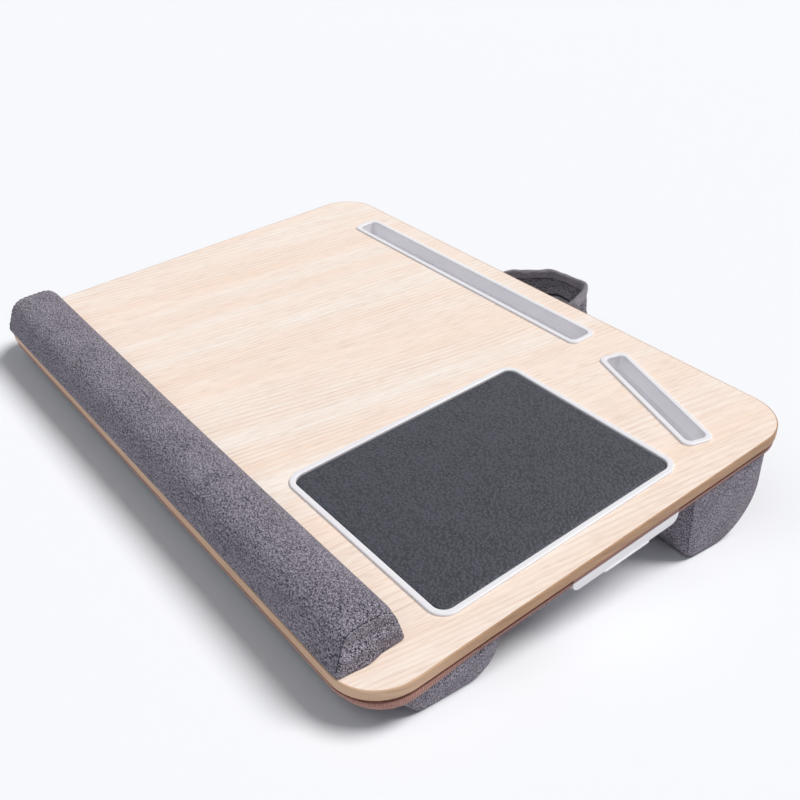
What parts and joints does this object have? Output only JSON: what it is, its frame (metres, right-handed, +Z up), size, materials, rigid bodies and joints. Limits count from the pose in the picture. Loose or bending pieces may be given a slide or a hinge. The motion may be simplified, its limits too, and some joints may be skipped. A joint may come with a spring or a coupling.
{
  "type": "cushioned lap desk",
  "caption": "Tilted wood-grain lap desk on fabric bolsters, with a mouse pad, tablet and phone slots, a padded wrist rest, a sliding pen drawer and a strap to carry it by.",
  "frame": {"origin": "on the floor, under the middle of the whole desk's box", "axes": "+X to the user's right, +Y away from the user, +Z up; the board tilts down towards the user"},
  "size_m": [0.55, 0.4436, 0.096],
  "materials": {
    "wood_laminate": "matt pale ash grain",
    "edge_band": "satin tan edging",
    "base_board": "smooth hardboard",
    "edge_tape": "ribbed tape",
    "white_plastic": "satin",
    "dark_leather": "pebbled",
    "grey_fabric": "heathered weave",
    "strap_fabric": "stitched weave",
    "foam": "soft filling",
    "backing_board": "matt",
    "bracket_steel": "zinc plated",
    "screw_steel": "zinc plated"
  },
  "bodies": {
    "desk": {"top_board": "wood_laminate", "edge_band": "edge_band", "base_panel": "base_board", "base_edge_tape": "edge_tape", "base_screws": "screw_steel", "mouse_tray": "white_plastic", "mouse_tray_screws": "screw_steel", "mouse_pad_foam": "foam", "mouse_pad_leather": "dark_leather", "tablet_tray": "white_plastic", "phone_tray": "white_plastic", "wrist_rest_backing": "backing_board", "wrist_rest_core": "foam", "wrist_rest_cover": "grey_fabric", "front_cushion_cover": "grey_fabric", "front_cushion_core": "foam", "rear_cushion_cover": "grey_fabric", "rear_cushion_core": "foam", "drawer_rail_front": "white_plastic", "drawer_rail_rear": "white_plastic", "drawer_rail_screws": "screw_steel", "handle_bracket_left": "bracket_steel", "handle_bracket_right": "bracket_steel", "handle_rivets": "bracket_steel", "handle_screws": "screw_steel"},
    "drawer": {"drawer_tray": "white_plastic"},
    "handle": {"handle_strap": "strap_fabric"}
  },
  "joints": [
    {"name": "drawer_slide", "type": "slide", "parent": "desk", "child": "drawer", "axis": [1, 0, 0], "range_m": [0, 0.11]},
    {"name": "handle_swing", "type": "hinge", "parent": "desk", "child": "handle", "pos_m": [-0.0065, 0.16112, 0.059], "axis": [1, 0, 0], "range_deg": [-70, 8]}
  ]
}
